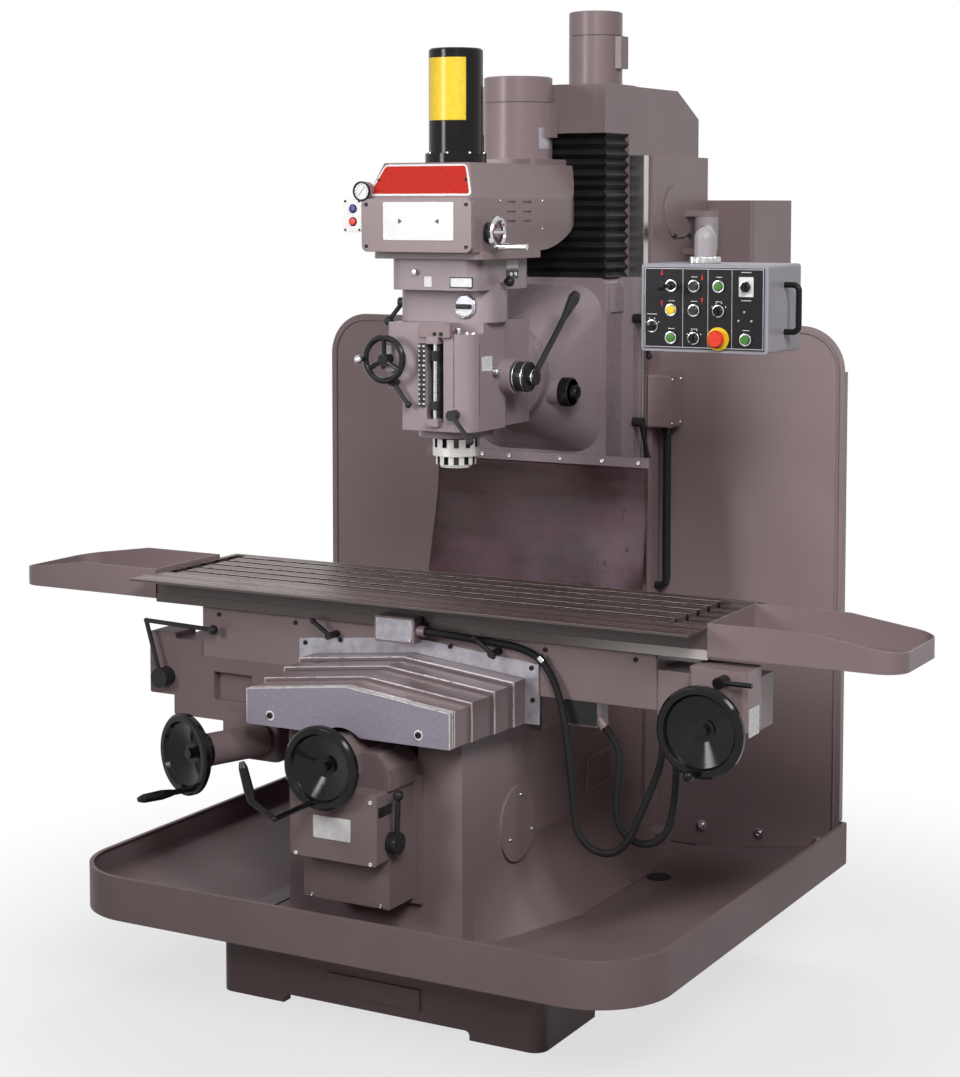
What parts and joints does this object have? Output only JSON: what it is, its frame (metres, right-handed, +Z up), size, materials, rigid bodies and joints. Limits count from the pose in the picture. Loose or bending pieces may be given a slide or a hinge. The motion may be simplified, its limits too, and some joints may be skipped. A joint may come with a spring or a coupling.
{
  "type": "bed mill",
  "caption": "Bed mill with a swivelling quill head on a vertical carriage, a T-slotted table on a cross saddle and a swinging pendant.",
  "frame": {"origin": "floor level, at the middle of the four foundation holes", "axes": "+X to the operator's right along the table, +Y from the operator to the column, +Z up"},
  "size_m": [2.508, 2.1803, 2.524],
  "materials": {
    "machine_paint": "semi-gloss",
    "base_paint": "semi-gloss",
    "bright_steel": "ground",
    "ground_iron": "ground",
    "black_handle": "gloss",
    "black_rubber": "satin",
    "tray_sheet": "satin",
    "chrome_rod": "polished",
    "panel_grey": "satin",
    "red_cap": "gloss",
    "green_cap": "gloss",
    "black_paint": "gloss",
    "motor_paint": "satin"
  },
  "bodies": {
    "frame": {"base_casting": "base_paint", "chip_pan": "base_paint", "bed": "machine_paint", "column": "machine_paint", "top_housing": "machine_paint", "z_motor": "motor_paint", "electrical_cabinet": "machine_paint", "splash_guards": "machine_paint", "y_gearbox": "machine_paint", "cover_front_plate": "tray_sheet", "column_wiring": "machine_paint"},
    "cross_screw": {"y_screw": "bright_steel", "y_wheel": "black_handle"},
    "lift_screw": {"z_screw": "bright_steel"},
    "saddle": {"saddle": "machine_paint", "x_drive_left": "machine_paint", "x_gearbox_right": "machine_paint", "cover_hood": "tray_sheet", "conduit_loop": "black_rubber", "conduit_branch": "black_rubber"},
    "table": {"table": "ground_iron", "x_screw": "bright_steel", "chip_trays": "machine_paint"},
    "carriage": {"carriage": "machine_paint", "bellows": "black_rubber", "apron": "black_rubber"},
    "head": {"head_casting": "machine_paint", "gear_housing": "machine_paint", "belt_housing": "machine_paint", "spindle_motor": "motor_paint", "drawbar_cover": "black_paint"},
    "y_feed_lever": {"y_feed_lever": "black_paint"},
    "cover_leaf_1": {"cover_leaf_1": "tray_sheet"},
    "cover_leaf_2": {"cover_leaf_2": "tray_sheet"},
    "cover_leaf_3": {"cover_leaf_3": "tray_sheet"},
    "x_wheel_left": {"x_wheel_left": "black_handle"},
    "x_wheel_right": {"x_wheel_right": "black_handle"},
    "x_feed_lever": {"x_feed_lever": "black_paint"},
    "table_lock_left": {"table_lock_left": "black_paint"},
    "table_lock_right": {"table_lock_right": "black_paint"},
    "carriage_lock_upper": {"carriage_lock_upper": "black_paint"},
    "carriage_lock_lower": {"carriage_lock_lower": "black_paint"},
    "quill": {"quill": "bright_steel"},
    "spindle": {"spindle": "bright_steel"},
    "quill_lever": {"quill_lever": "black_paint"},
    "feed_handwheel": {"feed_handwheel": "black_handle"},
    "feed_trip_lever": {"feed_trip_lever": "black_paint"},
    "quill_lock": {"quill_lock": "black_paint"},
    "speed_crank": {"speed_crank": "chrome_rod"},
    "brake_lever": {"brake_lever": "black_paint"},
    "control_arm": {"control_arm": "machine_paint"},
    "control_box": {"control_box": "panel_grey"},
    "e_stop": {"e_stop": "red_cap"},
    "joystick": {"joystick": "black_handle"},
    "rotary_switch": {"rotary_switch": "black_handle"},
    "selector_upper": {"selector_upper": "black_handle"},
    "selector_lower": {"selector_lower": "black_handle"},
    "start_button": {"start_button": "green_cap"},
    "up_button": {"up_button": "black_handle"},
    "down_button": {"down_button": "black_handle"}
  },
  "joints": [
    {"name": "saddle_slide", "type": "slide", "parent": "frame", "child": "saddle", "axis": [0, 1, 0], "range_m": [-0.2, 0.2]},
    {"name": "table_slide", "type": "slide", "parent": "saddle", "child": "table", "axis": [1, 0, 0], "range_m": [-0.5, 0.5]},
    {"name": "carriage_slide", "type": "slide", "parent": "frame", "child": "carriage", "axis": [0, 0, 1], "range_m": [-0.2, 0.25], "deforming": ["bellows", "apron"]},
    {"name": "head_tilt", "type": "hinge", "parent": "carriage", "child": "head", "pos_m": [0, -0.146, 1.544], "axis": [0, 1, 0], "range_deg": [-40, 40]},
    {"name": "quill_slide", "type": "slide", "parent": "head", "child": "quill", "axis": [0, 0, -1], "range_m": [0, 0.125]},
    {"name": "spindle_spin", "type": "hinge", "parent": "quill", "child": "spindle", "pos_m": [0, -0.38, 1.4], "axis": [0, 0, 1], "continuous": true},
    {"name": "quill_lever_turn", "type": "hinge", "parent": "head", "child": "quill_lever", "pos_m": [0.19, -0.335, 1.551], "axis": [1, 0, 0], "range_deg": [0, 287]},
    {"name": "arm_swing", "type": "hinge", "parent": "frame", "child": "control_arm", "pos_m": [0.3, 0.52, 1.905], "axis": [0, 0, 1], "range_deg": [0, 50]},
    {"name": "box_swivel", "type": "hinge", "parent": "control_arm", "child": "control_box", "pos_m": [0.7, -0.42, 1.85], "axis": [0, 0, 1], "range_deg": [-45, 45]},
    {"name": "cross_screw_turn", "type": "hinge", "parent": "frame", "child": "cross_screw", "pos_m": [-0.014, -0.9, 0.672], "axis": [0, -1, 0], "continuous": true},
    {"name": "lift_screw_turn", "type": "hinge", "parent": "frame", "child": "lift_screw", "pos_m": [0, 0.262, 1.6], "axis": [0, 0, 1], "continuous": true},
    {"name": "x_wheel_left_turn", "type": "hinge", "parent": "saddle", "child": "x_wheel_left", "pos_m": [-0.397, -0.961, 0.656], "axis": [-0.342, -0.9397, 0], "continuous": true},
    {"name": "x_wheel_right_turn", "type": "hinge", "parent": "saddle", "child": "x_wheel_right", "pos_m": [0.836, -0.71, 0.802], "axis": [0, -1, 0], "continuous": true},
    {"name": "x_feed_lever_swing", "type": "hinge", "parent": "saddle", "child": "x_feed_lever", "pos_m": [-0.77, -0.6, 0.735], "axis": [0, 1, 0], "range_deg": [-20, 20]},
    {"name": "y_feed_lever_swing", "type": "hinge", "parent": "frame", "child": "y_feed_lever", "pos_m": [0.12, -0.905, 0.491], "axis": [1, 0, 0], "range_deg": [-25, 25]},
    {"name": "table_lock_left_turn", "type": "hinge", "parent": "saddle", "child": "table_lock_left", "pos_m": [-0.234, -0.58, 0.899], "axis": [0, 1, 0], "range_deg": [-40, 40]},
    {"name": "table_lock_right_turn", "type": "hinge", "parent": "saddle", "child": "table_lock_right", "pos_m": [0.234, -0.58, 0.899], "axis": [0, 1, 0], "range_deg": [-40, 40]},
    {"name": "carriage_lock_upper_turn", "type": "hinge", "parent": "carriage", "child": "carriage_lock_upper", "pos_m": [0.238, 0.1738, 1.677], "axis": [1, 0, 0], "range_deg": [-60, 0]},
    {"name": "carriage_lock_lower_turn", "type": "hinge", "parent": "carriage", "child": "carriage_lock_lower", "pos_m": [0.238, 0.1738, 1.396], "axis": [1, 0, 0], "range_deg": [-60, 0]},
    {"name": "feed_handwheel_turn", "type": "hinge", "parent": "head", "child": "feed_handwheel", "pos_m": [-0.107, -0.514, 1.599], "axis": [0, -1, 0], "continuous": true},
    {"name": "feed_trip_swing", "type": "hinge", "parent": "head", "child": "feed_trip_lever", "pos_m": [-0.095, -0.514, 1.54], "axis": [0, 1, 0], "range_deg": [-20, 20]},
    {"name": "quill_lock_turn", "type": "hinge", "parent": "head", "child": "quill_lock", "pos_m": [0.074, -0.514, 1.464], "axis": [0, 1, 0], "range_deg": [-30, 30]},
    {"name": "speed_crank_turn", "type": "hinge", "parent": "head", "child": "speed_crank", "pos_m": [0.15, -0.485, 1.915], "axis": [1, 0, 0], "continuous": true},
    {"name": "brake_swing", "type": "hinge", "parent": "head", "child": "brake_lever", "pos_m": [-0.136, -0.387, 1.734], "axis": [1, 0, 0], "range_deg": [-25, 25]},
    {"name": "e_stop_push", "type": "slide", "parent": "control_box", "child": "e_stop", "axis": [0, -1, 0], "range_m": [-0.004, 0], "stiffness_N_per_m": 400},
    {"name": "start_push", "type": "slide", "parent": "control_box", "child": "start_button", "axis": [0, -1, 0], "range_m": [-0.004, 0], "stiffness_N_per_m": 400},
    {"name": "up_push", "type": "slide", "parent": "control_box", "child": "up_button", "axis": [0, -1, 0], "range_m": [-0.004, 0], "stiffness_N_per_m": 400},
    {"name": "down_push", "type": "slide", "parent": "control_box", "child": "down_button", "axis": [0, -1, 0], "range_m": [-0.004, 0], "stiffness_N_per_m": 400},
    {"name": "joystick_tilt", "type": "hinge", "parent": "control_box", "child": "joystick", "pos_m": [0.65, -0.5, 1.794], "axis": [1, 0, 0], "range_deg": [-15, 15]},
    {"name": "rotary_turn", "type": "hinge", "parent": "control_box", "child": "rotary_switch", "pos_m": [0.838, -0.5, 1.794], "axis": [0, 1, 0], "range_deg": [0, 270]},
    {"name": "selector_upper_turn", "type": "hinge", "parent": "control_box", "child": "selector_upper", "pos_m": [0.77, -0.5, 1.737], "axis": [0, 1, 0], "range_deg": [-45, 45]},
    {"name": "selector_lower_turn", "type": "hinge", "parent": "control_box", "child": "selector_lower", "pos_m": [0.708, -0.5, 1.672], "axis": [0, 1, 0], "range_deg": [-45, 45]},
    {"name": "cover_leaf_1_slide", "type": "slide", "parent": "frame", "child": "cover_leaf_1", "axis": [0, 1, 0], "range_m": [-0.0501, 0.0501]},
    {"name": "cover_leaf_2_slide", "type": "slide", "parent": "frame", "child": "cover_leaf_2", "axis": [0, 1, 0], "range_m": [-0.1001, 0.1001]},
    {"name": "cover_leaf_3_slide", "type": "slide", "parent": "frame", "child": "cover_leaf_3", "axis": [0, 1, 0], "range_m": [-0.1501, 0.1501]}
  ],
  "couplings": [
    {"joint": "quill_lever_turn", "follows": "quill_slide", "rad_per_m": 40},
    {"joint": "cross_screw_turn", "follows": "saddle_slide", "rad_per_m": 628.32},
    {"joint": "lift_screw_turn", "follows": "carriage_slide", "rad_per_m": 628.32},
    {"joint": "x_wheel_left_turn", "follows": "table_slide", "rad_per_m": 628.32},
    {"joint": "x_wheel_right_turn", "follows": "table_slide", "rad_per_m": 628.32},
    {"joint": "cover_leaf_1_slide", "follows": "saddle_slide", "ratio": 0.25},
    {"joint": "cover_leaf_2_slide", "follows": "saddle_slide", "ratio": 0.5},
    {"joint": "cover_leaf_3_slide", "follows": "saddle_slide", "ratio": 0.75}
  ]
}
